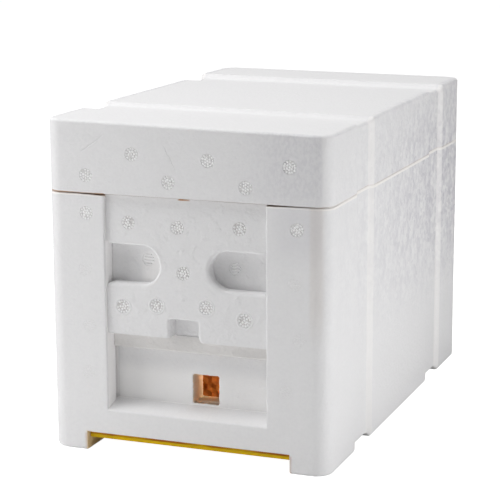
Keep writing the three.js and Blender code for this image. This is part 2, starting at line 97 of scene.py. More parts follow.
class BoxSizes(PropertyGroup):
    """Sizes of the foam box and its lid."""

    width: length("Width", 165, "Overall width of the foam box")
    depth: length("Length", 272, "Overall length from front to rear")
    rim: length("Rim height", 146.8, "Height of the box's rim above the ground")
    lid_low: length("Lid underside", 147.1, "Height of the lid's lower edge")
    lid_top: length("Lid top", 187.2, "Height of the lid's flat top")
    rear_rise: length("Rear rise", 0.7, "How much the rear section of the lid stands higher")
    front_sag: length("Front sag", 2.4, "How much lower the lid's top lies at its right front corner")
    rear_sag: length("Rear sag", 1.1, "How much lower the lid's top lies at its right rear corner")
    lid_inset: length("Lid inset", 0.1, "How far the lid's right side stands back from the box")
    corner: length("Corner radius", 10, "Radius of the four upright corners")
    lid_edge: length("Lid edge radius", 1.8, "Rounding along the lid's upper edge")
    base_edge: length("Base edge radius", 2.4, "Rounding along the box's lower edge")
    rim_edge: length("Rim edge radius", 1.3, "Rounding of the box's rim at the seam")
    lid_low_edge: length("Lid lower edge radius", 0.12, "Rounding of the lid's lower edge")
    strap_floor: length("Strap groove floor", 22.5, "Flat width at the bottom of a strap groove")
    strap_slope: length("Strap groove slope", 5, "Width of each slope of a strap groove")
    strap_depth: length("Strap groove depth", 2.3, "Depth of the strap grooves")
    front_strap: length("Front strap", 62.5, "Distance of the front strap groove from the front")
    rear_strap: length("Rear strap", 211, "Distance of the rear strap groove from the front")


class PorchSizes(PropertyGroup):
    """Sizes of the porch, the entrance and the posts."""

    half_width: length("Half width", 47, "Half the way between the two posts")
    depth: length("Depth", 14.5, "Depth of the porch behind the front face")
    lip: length("Lip height", 25, "Height of the porch floor at the front")
    back: length("Back height", 28.8, "Height of the porch floor at the wall")
    post_edge: length("Post edge radius", 0.9, "Rounding of the posts' inner edges")
    hole_width: length("Entrance width", 15.4, "Width of the entrance")
    hole_height: length("Entrance height", 16.4, "Height of the entrance")
    hole_offset: length("Entrance offset", 6.1, "How far right of the middle the entrance lies")
    hole_edge: length("Entrance edge", 0.9, "Rounding of the entrance's outer edge")


class DoorSizes(PropertyGroup):
    """Sizes of the sliding front door."""

    edge: length("Edge radius", 1.8, "Rounding of the grips' and the notch's front edges")
    corner: length("Corner radius", 3, "Radius of the grips' outer corners")
    low: length("Lower edge", 69, "Height of the thick slab's lower edge, left of the notch")
    right_drop: length("Right drop", 1, "How much lower the slab ends at the right of the notch")
    grip_height: length("Grip height", 21.8, "Height of the two finger grips")
    grip_spacing: length("Grip spacing", 28.9, "Way between the middles of the grips' round ends")
    grip_offset: length("Grip offset", -1.2, "How far the grips' middle lies off the box's middle")
    grip_rise: length("Grip rise", 0.8, "How far the grips lie above the slab's middle")
    notch_width: length("Notch width", 16.8, "Width of the finger nail notch")
    notch_height: length("Notch height", 10.6, "Height of the finger nail notch")
    notch_offset: length("Notch offset", -1.6, "How far the notch lies off the box's middle")
    pocket: length("Pocket depth", 0.5, "How far the notch runs on into the rear plate")


class FoamLook(PropertyGroup):
    """Colours and texture of the foam."""

    colour: colour("Foam colour", (0.84, 0.835, 0.84), "Colour of clean foam")
    shade: colour("Bead shade", (0.795, 0.79, 0.80), "Colour of the darkest beads")
    # Painted shade: the sides darken with it towards the rear and up, and some patches on the front use it
    # too
    weathered: colour("Weathered sides", (0.60, 0.59, 0.63), "Colour of the sides where they have weathered")
    # Real bee glue and wood tar on inner faces, and also painted warm shade in the gaps at the lid's seam
    stain: colour("Stain", (0.47, 0.25, 0.12), "Colour of bee glue and wood tar on inner faces")
    # Painted light: a paler tone where the porch's wall, the left post's inner side and the left grip's
    # floor lie in shade
    clean: colour("Clean foam", (0.97, 0.96, 0.955), "Colour of the foam that the door keeps clean")
    # Painted highlight: the rim's edge along the sides and the front, and the strap grooves' rear slopes
    lip: colour("Rim lip", (0.93, 0.91, 0.89), "Colour of the rim's lip along the sides")
    # Partly the entrance's own stain, partly painted warm light reflected from inside the box; also a little
    # painted shade on the door's plate
    jamb: colour("Jamb", (0.64, 0.57, 0.42), "Colour of the entrance's inner faces")
    # Painted shade, brownish, on the right post's outer front corner
    rubbed: colour("Rubbed corner", (0.55, 0.42, 0.32), "Colour of the right post's rubbed outer corner")
    # Painted shadow along the entrance's right and lower edges
    gnawed: colour("Gnawed edge", (0.24, 0.10, 0.03), "Colour of the entrance's worn right and lower edges")
    # Golden brown on the left foot's inner side: partly stain, partly painted yellow light reflected from
    # the slide
    foot: colour("Foot", (0.80, 0.62, 0.36), "Colour of the wood stain inside the left foot")
    # Partly a painted highlight: the dots are paler than the foam
    dots: colour("Vent dots", (0.98, 0.98, 0.98), "Colour of the smooth raised dots in the vent marks")
    bead: length("Bead size", 3.4, "Width of one foam bead")
    bump: share("Bead relief", 0.12, "How strongly the beads show as relief")
    grain: share("Grain", 0.45, "How strongly the fine grain of the foam skin shows")
    mark_radius: length("Vent mark radius", 3.9, "Radius of the moulding vents' round marks")
    mark_depth: length("Vent mark depth", 0.35, "Depth of the moulding vents' round marks")


class InsideLook(PropertyGroup):
    """Colours of the wooden, wax and plastic pieces."""

    yellow: colour("Yellow plastic", (0.80, 0.52, 0.0), "Colour of the floor slide and the excluder")
    # Painted shadow: the dark brown line along the slide's upper front edge, under the box
    glue: colour("Bee glue", (0.36, 0.10, 0.0), "Colour of the bee glue on the slide's front edge")
    wood: colour("Wood", (0.60, 0.40, 0.21), "Colour of the planed wood")
    wood_grain: colour("Wood grain", (0.38, 0.21, 0.09), "Colour of the late wood lines")
    wax: colour("Wax", (0.62, 0.22, 0.05), "Colour of the wax sheets")
    white: colour("White plastic", (0.80, 0.80, 0.77), "Colour of the feeder")
    cell: length("Wax cell", 5.3, "Width of one wax cell")


class StageLook(PropertyGroup):
    """Light and camera."""

    sky: share("Sky light", 0.003, "Strength of the even light from all round")
    overhead: power("Overhead light", 23.2, "Power of the large light overhead")
    left: power("Left light", 0.49, "Power of the light far at the left of the front")
    near_left: power("Near left light", 0.45, "Power of the light close to the left of the front")
    low_left: power("Low left light", 0.142, "Power of the light low at the left of the front")
    front: power("Front light", 0.177, "Power of the light low in front of the box")
    right: power("Right light", 1.55, "Power of the light low at the right side")
    near_right: power("Near right light", 0.336, "Power of the light low and close to the right side")
    inner: power("Light in the box", 0.034, "Power of the light that comes through the foam walls")
    table_glow: share("Table glow", 0.0, "How much the lit table shines back at the box")
    table_white: share("Table white", 1.0, "How much the camera overexposes the table")
    lens: FloatProperty(name="Lens", description="Focal length in millimetres", default=125.74)


SETTINGS = {
    "nuc_box": BoxSizes,
    "nuc_porch": PorchSizes,
    "nuc_door": DoorSizes,
    "nuc_foam": FoamLook,
    "nuc_inside": InsideLook,
    "nuc_stage": StageLook,
}


# Outlines and meshes


OVERRUN = mm(5)  # How far a cutter reaches past the foam
SHORT_OVERRUN = mm(1)  # The same for the vent marks and the door


def arc(across, up, radius, start, end, steps=8):
    """Points of an arc, from one angle to another in degrees."""
    angles = [math.radians(start + (end - start) * i / steps) for i in range(steps + 1)]
    return [(across + radius * math.cos(a), up + radius * math.sin(a)) for a in angles]


def rounded_rectangle(left, right, low, high, radius, steps=6):
    """Points of a rectangle with round corners."""
    return (
        arc(right - radius, low + radius, radius, -90, 0, steps)
        + arc(right - radius, high - radius, radius, 0, 90, steps)
        + arc(left + radius, high - radius, radius, 90, 180, steps)
        + arc(left + radius, low + radius, radius, 180, 270, steps)
    )


def ragged(outline, step, amount):
    """The outline with extra points along its straight parts, each moved a little at random."""
    chance = random.Random(4)
    points = []
    for i, point in enumerate(outline):
        here, after = Vector(point), Vector(outline[(i + 1) % len(outline)])
        count = max(1, round((after - here).length / step))
        for k in range(count):
            shift = Vector((chance.uniform(-amount, amount), chance.uniform(-amount, amount)))
            points.append(tuple(here.lerp(after, k / count) + shift))
    return points


def grown(outline, distance):
    """The outline moved outwards by a distance, or inwards if it is negative."""
    if not distance:
        return outline
    moved = []
    for i, point in enumerate(outline):
        here = Vector(point)
        before = (here - Vector(outline[i - 1])).normalized()
        after = (Vector(outline[(i + 1) % len(outline)]) - here).normalized()
        out = Vector((before.y + after.y, -before.x - after.x))
        scale = 2 / max(out.length_squared, 0.4)
        moved.append(tuple(here + out * distance * scale))
    return moved


def end_rows(start, inward, radius, steps=4):
    """Rows (place, growth) where a prism starts: rounded over, or flared out if radius is negative."""
    if not radius:
        return [(start, 0)]
    size, sign = abs(radius), -1 if radius > 0 else 1
    rows = [] if radius > 0 else [(start - inward * 5 * size, size)]
    for i in range(steps + 1):
        turn = math.radians(90 * i / steps)
        rows.append((start + inward * size * (1 - math.cos(turn)), sign * size * (1 - math.sin(turn))))
    return rows


def placed(axis, point, along):
    """A point of an outline, set into space for a prism that runs along an axis."""
    u, v = point
    return {"X": (along, u, v), "Y": (u, along, v), "Z": (u, v, along)}[axis]


def skin(bm, rings, capped=True):
    """Faces from each closed ring of points to the next, and over both ends if it is capped."""
    for low, high in zip(rings, rings[1:]):
        for i in range(len(low)):
            bm.faces.new((low[i - 1], low[i], high[i], high[i - 1]))
    if capped:
        bm.faces.new(rings[0][::-1])
        bm.faces.new(rings[-1])


def new_piece(name, bm, smooth=False):
    """A new object from a finished bmesh, with its faces turned outwards."""
    bmesh.ops.recalc_face_normals(bm, faces=bm.faces)
    mesh = bpy.data.meshes.new(name)
    bm.to_mesh(mesh)
    bm.free()
    if smooth:
        mesh.shade_smooth()
    piece = bpy.data.objects.new(name, mesh)
    bpy.context.scene.collection.objects.link(piece)
    return piece


def prism(name, outline, axis, start, end, start_edge=0, end_edge=0):
    """A closed prism along an axis, each end plain, rounded over (above 0) or flared (below 0)."""
    rows = end_rows(start, 1, start_edge) + end_rows(end, -1, end_edge)[::-1]
    bm = bmesh.new()
    rings = [
        [bm.verts.new(placed(axis, point, along)) for point in grown(outline, growth)]
        for along, growth in rows
    ]
    skin(bm, rings)
    return new_piece(name, bm)


def block(name, low, high):
    """A box between two corners."""
    outline = [(low[0], low[1]), (high[0], low[1]), (high[0], high[1]), (low[0], high[1])]
    return prism(name, outline, "Z", low[2], high[2])


def combine(piece, tool, operation="DIFFERENCE"):
    """Cuts the tool out of the piece, joins it on or keeps what both share. The tool is used up."""
    change = piece.modifiers.new("Combine", "BOOLEAN")
    change.operation = operation
    change.solver = "EXACT"
    change.object = tool
    made = bpy.data.meshes.new_from_object(piece.evaluated_get(bpy.context.evaluated_depsgraph_get()))
    piece.modifiers.clear()
    old = piece.data
    piece.data = made
    made.name = piece.name
    bpy.data.meshes.remove(old)
    bpy.data.objects.remove(tool)
    if not made.polygons:
        raise RuntimeError(f"{piece.name} is empty after a cut")
    return piece


def soften(piece, angle=32):
    """Smooth faces, with edges kept sharp above an angle and flat faces kept flat."""
    piece.data.shade_smooth()
    piece.data.set_sharp_from_angle(angle=math.radians(angle))
    even = piece.modifiers.new("Even normals", "WEIGHTED_NORMAL")
    even.keep_sharp = True
    even.weight = 80
    return piece


def dress(piece, body, slot, material, *nodes):
    """Gives a new piece its material and its body, and hides the CAD nodes that it stands for."""
    piece.data.materials.clear()
    piece.data.materials.append(material)
    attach(piece, body)
    if nodes:
        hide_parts(*nodes)


# The foam block


def slope_share(t, knee=0.34):
    """How far up a slope a place lies, from 0 to 1: a straight slope with a short bend at each end."""
    t = min(max(t, 0), 1)
    bend = min(t, 1 - t, knee)
    rise = (min(t, 1 - t) - bend + bend * bend / (2 * knee)) / (1 - knee)
    return rise if t < 0.5 else 1 - rise


SLOPE_STEPS = 12
EDGE_STEPS = 6


def strap_share(box, y):
    """How deep the strap grooves are at a place along the box, from 0 to 1."""
    for middle in (box.front_strap, box.rear_strap):
        away = abs(y + box.depth / 2 - middle) - box.strap_floor / 2
        if away < box.strap_slope:
            return 1 - slope_share(max(away, 0) / box.strap_slope)
    return 0


def half_plan(box):
    """Points and outward normals of the plan's right half, from the front to the rear."""
    half, end, radius = box.width / 2, box.depth / 2, box.corner

    def side(y):
        return half - box.strap_depth * strap_share(box, y)

    def corner(middle, start):
        centre = Vector((half - radius, middle))
        points = [Vector(p) for p in arc(*centre, radius, start, start + 90, SLOPE_STEPS)]
        return [(p, (p - centre).normalized()) for p in points]

    plan = corner(-end + radius, -90)
    tiny = mm(0.05)
    for middle in (box.front_strap, box.rear_strap):
        for way in (-1, 1):
            for i in range(SLOPE_STEPS + 1):
                up = (SLOPE_STEPS - i if way < 0 else i) / SLOPE_STEPS
                y = middle - end + way * (box.strap_floor / 2 + box.strap_slope * up)
                lean = (side(y + tiny) - side(y - tiny)) / (2 * tiny)
                plan.append((Vector((side(y), y)), Vector((1, -lean)).normalized()))
    return plan + corner(end - radius, 0)


def foam_block(name, box, low, high, low_edge, high_edge, inset_right=0, rounding=lambda y: 1):
    """The foam block between two heights, which may change over the plan, with rounded edges."""
    turns = [math.radians(90 * i / EDGE_STEPS) for i in range(EDGE_STEPS + 1)]
    rows = [(low_edge * (1 - math.sin(a)), low, low_edge * (1 - math.cos(a))) for a in turns]
    rows += [(high_edge * (1 - math.cos(a)), high, -high_edge * (1 - math.sin(a))) for a in turns]
    bm = bmesh.new()
    right, left = [], []
    for point, normal in half_plan(box):
        for chain, way, back in ((right, 1, inset_right), (left, -1, 0)):
            ring = []
            for inset, level, rise in rows:
                round_share = rounding(point.y) if level is high else 1
                place = point - normal * inset * round_share
                z = level(way * point.x, point.y) + rise * round_share
                ring.append(bm.verts.new((way * (place.x - back), place.y, z)))
            chain.append(ring)
    for chain in (right, left):
        for one, two in zip(chain, chain[1:]):
            for j in range(len(rows) - 1):
                bm.faces.new((one[j], two[j], two[j + 1], one[j + 1]))
    for k in (0, -1):
        for j in range(len(rows) - 1):
            bm.faces.new((left[k][j], right[k][j], right[k][j + 1], left[k][j + 1]))
    for j in (0, -1):
        for i in range(len(right) - 1):
            bm.faces.new((left[i][j], right[i][j], right[i + 1][j], left[i + 1][j]))
    return new_piece(name, bm)


# Finishes


class Finish:
    """A procedural material. Its patterns lie in the piece's own space, so they move with it."""

    def __init__(self, name, roughness, **sockets):
        self.material = bpy.data.materials.new(name)
        self.material.use_nodes = True
        self.nodes = self.material.node_tree.nodes
        self.links = self.material.node_tree.links
        self.shader = self.nodes["Principled BSDF"]
        self.shader.inputs["Roughness"].default_value = roughness
        for socket, value in sockets.items():
            self.shader.inputs[socket.replace("_", " ")].default_value = value
        self.place = self.nodes.new("ShaderNodeTexCoord").outputs["Object"]
        self.height = None

    def node(self, kind, output=0, settings=None, **inputs):
        """Adds a node and returns one of its outputs. An input is a value or another output."""
        node = self.nodes.new("ShaderNode" + kind)
        for key, value in (settings or {}).items():
            setattr(node, key, value)
        for key, value in inputs.items():
            socket = node.inputs[int(key[1:])] if key[1:].isdigit() else node.inputs[key.replace("_", " ")]
            if isinstance(value, bpy.types.NodeSocket):
                self.links.new(value, socket)
            else:
                socket.default_value = value
        return node.outputs[output]

    def maths(self, operation, first, second=0.0, third=0.0):
        """A sum or another operation on numbers, named as Blender names it."""
        return self.node("Math", settings={"operation": operation}, i0=first, i1=second, i2=third)

    def times(self, first, second):
        """The product of two numbers."""
        return self.maths("MULTIPLY", first, second)

    def ramp(self, value, low, high, start=0.0, end=1.0):
        """The value, led smoothly from start at low to end at high."""
        settings = {"interpolation_type": "SMOOTHSTEP"}
        return self.node("MapRange", settings=settings, i0=value, i1=low, i2=high, i3=start, i4=end)

    def mix(self, factor, first, second):
        """A colour between two others."""
        return self.node(
            "Mix", output=2, settings={"data_type": "RGBA"}, i0=factor, i6=rgba(first), i7=rgba(second)
        )

    def uneven(self, tone, darkest, pattern, low=0.35, high=0.7):
        """A tone, darkened up to a share of itself by a pattern."""
        return self.mix(self.ramp(pattern, low, high), tone, [c * darkest for c in tone])

    def noise(self, scale, detail=2.0, stretch=None):
        """A cloudy pattern, the finer the greater the scale."""
        place = self.place
        if stretch:
            place = self.node("Mapping", Vector=self.place, Scale=stretch)
        return self.node("TexNoise", Vector=place, Scale=scale, Detail=detail)

    def bump(self, height, strength, distance):
        """Adds relief on top of any relief already there."""
        inputs = {"Height": height, "Strength": strength, "Distance": distance}
        if self.height is not None:
            inputs["Normal"] = self.height
        self.height = self.node("Bump", **inputs)

    def axes(self, place=None):
        """The three coordinates of a place, or of the piece's own space."""
        parts = self.nodes.new("ShaderNodeSeparateXYZ")
        self.links.new(place or self.place, parts.inputs[0])
        return parts.outputs

    def inside(self, low, high, soft):
        """1 within a box in the piece's space, fading to 0 over a soft distance outside it."""
        soft = soft if isinstance(soft, tuple) else (soft, soft, soft)
        mask = 1.0
        for axis, start, end, fade in zip(self.axes(), low, high, soft):
            if start is not None:
                mask = self.times(mask, self.ramp(axis, start - fade, start))
            if end is not None:
                mask = self.times(mask, self.ramp(axis, end, end + fade, 1.0, 0.0))
        return mask

    def beside(self, start, end):
        """0 in the middle, rising to 1 towards the piece's left and right sides."""
        return self.ramp(self.maths("ABSOLUTE", self.axes()[0]), start, end)

    def painted_side_shade(self):
        """How much painted shade a side gets: more towards the rear, and most at half its height and above.
        """
        along, height = self.axes()[1:]
        rearwards = self.ramp(along, mm(-170), mm(150), 0.04, 0.72)
        upper = self.ramp(height, mm(35), mm(115))
        below_top = self.ramp(height, mm(140), mm(190), 1.0, 0.5)
        return self.times(rearwards, self.times(upper, below_top))

    def scratch(self, x, z, long, wide, turn):
        """A shallow nick on an upright face: 0 on its line, rising to 1 beside it and past its ends."""
        wave = self.maths("MULTIPLY_ADD", self.noise(260.0, 2.0), mm(1.6), mm(-0.8))
        place = self.node("VectorMath", settings={"operation": "ADD"}, i0=self.place, i1=wave)
        moved = self.node("Mapping", Vector=place, Location=(-x, 0, -z))
        turned = self.node("Mapping", Vector=moved, Rotation=(0, math.radians(turn), 0))
        across, _, up = self.axes(turned)
        along = self.ramp(self.maths("ABSOLUTE", across), long * 0.3, long * 0.5)
        aside = self.ramp(self.maths("ABSOLUTE", up), wide * 0.1, wide * 0.5)
        return self.maths("MAXIMUM", along, aside)

    def done(self, colour):
        """Sets the colour and the relief, and returns the material."""
        if isinstance(colour, bpy.types.NodeSocket):
            self.links.new(colour, self.shader.inputs["Base Color"])
        else:
            self.shader.inputs["Base Color"].default_value = rgba(colour)
        if self.height is not None:
            self.links.new(self.height, self.shader.inputs["Normal"])
        return self.material


def rgba(value):
    """A colour with alpha 1, or a socket as it is."""
    return value if isinstance(value, bpy.types.NodeSocket) else (*value[:3], 1.0)


class Patch(NamedTuple):
    """A box within which the foam has another tone: its corners, open where they hold no number.

    A patch with a least share is speckled, and as weak as that share of its strength between specks.
    """

    tone: str
    low: tuple
    high: tuple
    soft: float | tuple
    strength: float
    least: float = 0


def patch(tone, low, high, soft, *strengths):
    """A patch given in millimetres. A tone is a colour of the foam's look, and stain is a blotchy one."""
    low, high = [tuple(v if v is None else mm(v) for v in corner) for corner in (low, high)]
    return Patch(tone, low, high, mm(*soft) if isinstance(soft, tuple) else mm(soft), *strengths)


def highlight_bands(box):
    """Patches of painted highlight on the rear slopes of the strap grooves on both sides."""
    patches = []
    out, inset = box.width / 2 - mm(3), mm(0.5)
    for strap in (box.front_strap, box.rear_strap):
        start = strap - box.depth / 2 + box.strap_floor / 2
        near, far = start + inset, start + box.strap_slope - inset
        patches.append(Patch("lip", (out, near, None), (None, far, None), mm(0.8), 0.45))
        patches.append(Patch("lip", (None, near, None), (-out, far, None), mm(0.8), 0.45))
    return patches


def foam_finish(name, patches, lumps, scratches=()):
    """Moulded bead foam: fine grain, faint beads and mottled painted shade on the sides, with patches and
    scratches.
    """
    look = bpy.context.scene.nuc_foam
    side = bpy.context.scene.nuc_box.width / 2
    foam = Finish(name, 0.78, Specular_IOR_Level=0.28)
    fine = foam.noise(620.0, 2.0)
    tint = foam.mix(foam.times(foam.ramp(fine, 0.35, 0.7), 0.35), look.colour, look.shade)
    beside = foam.beside(side - mm(6), side - mm(3))
    beads = foam.node("TexVoronoi", output=1, Vector=foam.place, Scale=1 / mm(2.6), Randomness=1.0)
    clouds = foam.ramp(foam.noise(150.0, 3.0, (1.0, 1.0, 0.6)), 0.35, 0.65)
    mottled = foam.maths("MULTIPLY_ADD", clouds, -0.7, foam.ramp(beads, 0.0, 1.0, 1.6, 0.5))
    # Painted shade on the sides, darker towards the rear and up, broken up by a mottled pattern
    tint = foam.mix(foam.times(foam.times(mottled, foam.painted_side_shade()), beside), tint, look.weathered)
    blotches, specks = foam.noise(120.0, 4.0), foam.noise(420.0, 4.0, (1.3, 1.0, 0.8))
    for tone, low, high, soft, strength, least in patches:
        spread = strength
        if tone == "stain":
            spread = foam.ramp(blotches, 0.3, 0.62, 0.45 * strength, strength)
        elif least:
            spread = foam.ramp(specks, 0.4, 0.62, least * strength, strength)
        tint = foam.mix(foam.times(foam.inside(low, high, soft), spread), tint, getattr(look, tone))
    borders = {"feature": "DISTANCE_TO_EDGE"}
    edge = foam.node("TexVoronoi", settings=borders, Vector=foam.place, Scale=1 / look.bead)
    foam.bump(foam.ramp(edge, 0.0, 0.22), look.bump, mm(0.25))
    foam.bump(fine, look.grain, mm(0.3))
    foam.bump(foam.times(beads, beside), 0.35, mm(0.25))
    foam.bump(foam.noise(40.0, 1.0), 0.10, mm(1.0))
    foam.bump(foam.ramp(foam.noise(150.0, 3.0), 0.45, 0.75), lumps, mm(0.6))
    for scratch in scratches:
        foam.bump(foam.scratch(*scratch), 0.8, mm(0.25))
    return foam.done(tint)


def dot_finish(name, wear=1):
    """The denser and smoother skin of the raised dots, paler than the foam as a painted highlight, and more
    like the foam's where it is worn.
    """
    look = bpy.context.scene.nuc_foam
    dots = Finish(name, 0.5, Specular_IOR_Level=0.5 * wear)
    pale = [foam + (dot - foam) * wear ** 2 for dot, foam in zip(look.dots, look.colour)]
    tint = dots.uneven(pale, 0.96, dots.noise(700.0))
    dots.bump(dots.noise(900.0), 0.1, mm(0.1))
    return dots.done(tint)


def floor_finish(name, tone, wear=1):
    """The rough skin between the raised dots, darkened as painted shade, less dark where it is worn."""
    rough = Finish(name, 0.9, Specular_IOR_Level=0.1)
    return rough.done(rough.uneven(tone, 1 - 0.25 * wear, rough.noise(1500.0)))


def plastic_finish(name, tone, roughness, grain=0.06, shaded_edge=None, **sockets):
    """Moulded plastic, slightly uneven, with a painted shadow in dark brown along a given upper front edge.
    """
    plastic = Finish(name, roughness, **sockets)
    tint = plastic.uneven(tone, 0.82, plastic.noise(60.0, 3.0))
    if shaded_edge is not None:
        start, end = (None, None, shaded_edge.z - mm(1.3)), (None, shaded_edge.y + mm(3), None)
        spread = plastic.ramp(plastic.noise(45.0, 3.0, (1.0, 1.0, 0.2)), 0.3, 0.65, 0.35, 1.0)
        amount = plastic.times(plastic.inside(start, end, mm(0.8)), spread)
        # Painted shadow along the upper front edge
        tint = plastic.mix(amount, tint, bpy.context.scene.nuc_inside.glue)
    plastic.bump(plastic.noise(1400.0, 2.0), grain, mm(0.08))
    return plastic.done(tint)


def wood_finish(name, stretch):
    """Planed wood whose grain runs along the axis with the smallest stretch."""
    look = bpy.context.scene.nuc_inside
    wood = Finish(name, 0.68, Specular_IOR_Level=0.3)
    warp = wood.noise(18.0, 3.0, stretch)
    rings = wood.maths("FRACT", wood.times(warp, 9.0))
    lines = wood.ramp(rings, 0.35, 0.95)
    fibres = wood.noise(260.0, 4.0, stretch)
    tint = wood.mix(wood.times(lines, 0.55), look.wood, look.wood_grain)
    tint = wood.mix(wood.ramp(fibres, 0.45, 0.75, 0.0, 0.35), tint, look.wood_grain)
    wood.bump(fibres, 0.25, mm(0.15))
    return wood.done(tint)


def wax_finish():
    """Beeswax, darker in clouds."""
    wax = Finish("Wax", 0.42, Subsurface_Weight=0.15, Subsurface_Scale=mm(2))
    tint = wax.uneven(bpy.context.scene.nuc_inside.wax, 0.6, wax.noise(45.0, 4.0), 0.3, 0.75)
    wax.bump(wax.noise(500.0, 3.0), 0.15, mm(0.1))
    return wax.done(tint)


def clear_finish():
    """A clear plastic sheet, slightly wavy."""
    clear = Finish("Clear_Sheet", 0.08, Transmission_Weight=0.92, IOR=1.45)
    tint = clear.mix(clear.ramp(clear.noise(30.0, 2.0), 0.3, 0.8), (0.97, 0.99, 0.99), (0.90, 0.95, 0.95))
    clear.bump(clear.noise(25.0, 2.0), 0.05, mm(1.0))
    return clear.done(tint)


def finish_node(node, material, edge):
    """Gives a CAD node its material and edges rounded by some millimetres. Its mesh stays as it is."""
    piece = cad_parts[node]
    piece.data.materials.clear()
    piece.data.materials.append(material)
    weld = piece.modifiers.new("Weld", "WELD")
    weld.merge_threshold = mm(0.01)
    if edge:
        bevel = piece.modifiers.new("Edges", "BEVEL")
        bevel.width = mm(edge)
        bevel.segments = 2
        bevel.limit_method = "ANGLE"
        bevel.angle_limit = math.radians(40)
        bevel.harden_normals = True


# Vent marks


LID_MARKS = [(-57.4, 156.9), (-29.9, 169.8), (-8.6, 155.6), (14.2, 168.5), (35.7, 155.2), (60.2, 167.6)]
DOOR_MARKS = [
    (-33.5, 131.9), (-4.5, 130.8), (31.3, 132.5), (-1.4, 105.8),
    (-37.6, 84.6), (-17.3, 86.7), (11.8, 87.8), (33.9, 82.6),
]
POST_MARKS = [(-57.6, 136.0), (64.3, 134.6)]
WORN_POST_MARKS = [(-58.8, 104.8), (-56.9, 72.8), (-58.0, 46.1), (62.8, 104.9), (66.0, 74.9), (58.1, 46.1)]
GRIP_MARKS = [(-24.8, 110.5), (26.1, 109.1)]
RIMMED = 4  # The first of the door's marks that has a swollen rim
WORN = 0.35  # How much of a vent mark is left where it is worn
DOT_SHARES = ((1.15, -0.5), (1.0, 0.45), (0.62, 0.92))  # Shares of the radius and of the rise
RIM_SECTION = ((0.1, 0.1), (0.4, -0.1), (0.8, -0.12), (1.5, 0.1))  # Millimetres outwards and back
RIDGE_SECTION = ((-1, 0.12), (-0.6, -0.3), (0.6, -0.3), (1, 0.12))  # Shares aside, millimetres back
RIDGE_ROWS = (-1.5, -0.5, 0.5, 1.5)
RIDGE_STEPS = 14


def ring_points(across, up, radius, count):
    """Points round a full circle, the first at its right."""
    return arc(across, up, radius, 0, 360 - 360 / count, count - 1)


def mark_cutter(marks, face, wear=1):
    """Shallow round cuts, one for each vent mark on an upright face, and shallower where it is worn."""
    look = bpy.context.scene.nuc_foam
    bm = bmesh.new()
    for x, z in marks:
        rim = ring_points(mm(x), mm(z), look.mark_radius, 24)
        ends = face - SHORT_OVERRUN, face + look.mark_depth * wear
        skin(bm, [[bm.verts.new((u, y, v)) for u, v in rim] for y in ends])
    return new_piece("Mark_Cutter", bm)


def raised_dot(bm, across, up, floor, radius, rise, sides=8):
    """Adds one low round dot that stands out from an upright floor."""
    rings = []
    for out_share, up_share in DOT_SHARES:
        points = ring_points(across, up, radius * out_share, sides)
        rings.append([bm.verts.new((u, floor - rise * up_share, v)) for u, v in points])
    skin(bm, rings)


def mark_floors(name, marks, face, wear=1):
    """The floors of the vent marks, one thin disc in each, which carries the painted shade between the dots.
    """
    look = bpy.context.scene.nuc_foam
    bm = bmesh.new()
    for x, z in marks:
        floor, radius = face + look.mark_depth * wear, look.mark_radius - mm(0.5)
        raised_dot(bm, mm(x), mm(z), floor, radius, mm(0.04), 24)
    return new_piece(name, bm)


def mark_dots(name, marks, face, wear=1):
    """The raised dots inside the vent marks: one in the middle and two rings round it, unevenly filled."""
    look = bpy.context.scene.nuc_foam
    depth = look.mark_depth * wear
    chance = random.Random(name)
    bm = bmesh.new()
    for x, z in marks:
        turn = chance.uniform(0, math.tau)
        for reach, count in ((0, 1), (0.4, 6), (0.8, 12)):
            for i in range(count):
                if chance.random() < 0.08 + 0.4 * (1 - wear):
                    continue
                angle = turn + math.tau * (i + chance.uniform(-0.14, 0.14)) / count
                away = look.mark_radius * reach
                across, up = mm(x) + away * math.cos(angle), mm(z) + away * math.sin(angle)
                radius, rise = mm(chance.uniform(0.54, 0.7)), depth * chance.uniform(0.7, 1.1)
                raised_dot(bm, across, up, face + depth, radius, rise)
    return new_piece(name, bm, smooth=True)


def mark_rims(name, marks, face):
    """A low swollen rim round each vent mark."""
    look = bpy.context.scene.nuc_foam
    bm = bmesh.new()
    for x, z in marks:
        rings = []
        for out, depth in RIM_SECTION:
            points = ring_points(mm(x), mm(z), look.mark_radius + mm(out), 32)
            rings.append([bm.verts.new((u, face + mm(depth), v)) for u, v in points])
        skin(bm, rings[-1:] + rings, capped=False)
    return new_piece(name, bm, smooth=True)


def mark_ridges(name, marks, face):
    """Four raised ridges in each mark of the finger grips: straight at the left, wavy at the right."""
    look = bpy.context.scene.nuc_foam
    bm = bmesh.new()
    pitch, reach = mm(1.7), mm(3.1)
    for (x, z), wave in zip(marks, (0.0, mm(0.4))):
        for row in RIDGE_ROWS:
            half = math.sqrt(reach**2 - (pitch * row) ** 2)
            rings = []
            for i in range(RIDGE_STEPS + 1):
                across = -half + 2 * half * i / RIDGE_STEPS
                up = pitch * row + wave * math.sin(across / reach * math.pi * 1.4)
                width = mm(0.13) if i in (0, RIDGE_STEPS) else mm(0.44)
                ring = []
                for aside_share, depth in RIDGE_SECTION:
                    y = face + look.mark_depth + mm(depth)
                    ring.append(bm.verts.new((mm(x) + across, y, mm(z) + up + aside_share * width)))
                rings.append(ring)
            skin(bm, rings)
    return new_piece(name, bm, smooth=True)


def add_marks(body, prefix, marks, face, floor_tone, wear=1):
    """Adds the dots and the floors of a body's vent marks."""
    dots = dot_finish(f"{prefix.title()}_Dots", wear)
    # The floors' tone is painted shade between the dots
    floors = floor_finish(f"{prefix.title()}_Floors", floor_tone, wear)
    dress(mark_dots(f"{prefix}_vent_dots", marks, face, wear), body, "foam", dots)
    dress(mark_floors(f"{prefix}_vent_floors", marks, face, wear), body, "foam", floors)


# Where the foam is lumpy, scratched or of another tone


